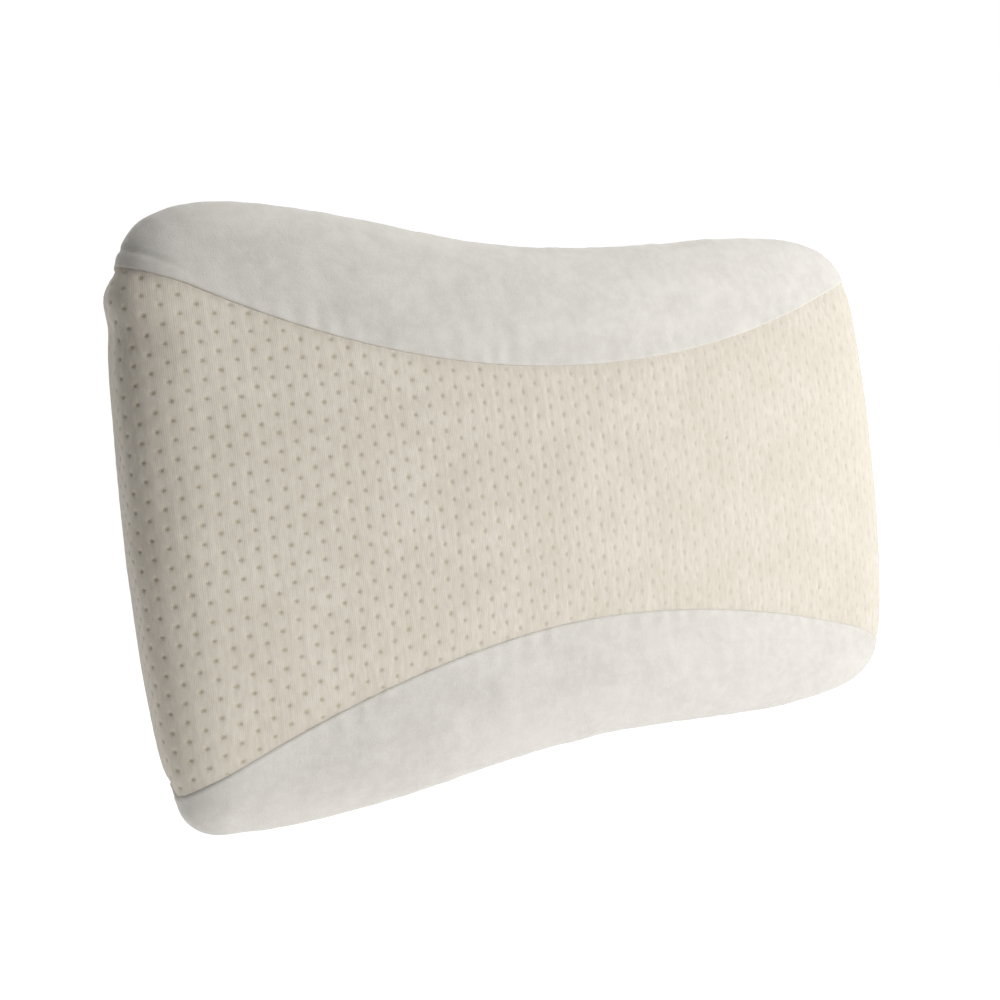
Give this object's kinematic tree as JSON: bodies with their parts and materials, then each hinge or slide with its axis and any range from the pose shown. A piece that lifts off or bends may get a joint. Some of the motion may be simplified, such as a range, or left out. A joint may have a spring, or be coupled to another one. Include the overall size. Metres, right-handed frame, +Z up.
{
  "type": "lumbar support cushion",
  "caption": "Free-standing lumbar cushion with a waisted outline: foam core and knit liner inside a zipped cover of eyelet knit and velour.",
  "frame": {"origin": "centre of the bounding box at its base, where the two lower lobes stand", "axes": "+X across the cushion's width, -Y out of its front, +Y out of its flat back, +Z up"},
  "size_m": [0.4498, 0.087, 0.2937],
  "materials": {
    "foam": "moulded open-cell foam",
    "liner": "plain white jersey knit",
    "eyelet_knit": "beige eyelet knit",
    "velour": "ivory short-pile velour",
    "zip_tape": "woven polyester tape",
    "zip_coil": "nylon coil",
    "zip_metal": "satin",
    "label_tape": "blank satin ribbon"
  },
  "bodies": {
    "cushion": {"foam_core": "foam", "liner_front": "liner", "liner_back": "liner", "front_mesh_panel": "eyelet_knit", "upper_velour_panel": "velour", "lower_velour_panel": "velour", "back_panel_upper": "velour", "back_panel_lower": "velour", "zip_tape_upper": "zip_tape", "zip_tape_lower": "zip_tape", "zip_coil_upper": "zip_coil", "zip_coil_lower": "zip_coil", "zip_top_stop_upper": "zip_metal", "zip_top_stop_lower": "zip_metal", "zip_bottom_stop": "zip_metal", "care_label": "label_tape"},
    "slider": {"zip_slider": "zip_metal"},
    "pull_tab": {"zip_pull_tab": "zip_metal"}
  },
  "joints": [
    {"name": "zip_slide", "type": "slide", "parent": "cushion", "child": "slider", "axis": [-1, 0, 0], "range_m": [0, 0.304]},
    {"name": "pull_tab_hinge", "type": "hinge", "parent": "slider", "child": "pull_tab", "pos_m": [0.152, 0.04205, 0.145], "axis": [0, 0, -1], "range_deg": [0, 180]}
  ]
}
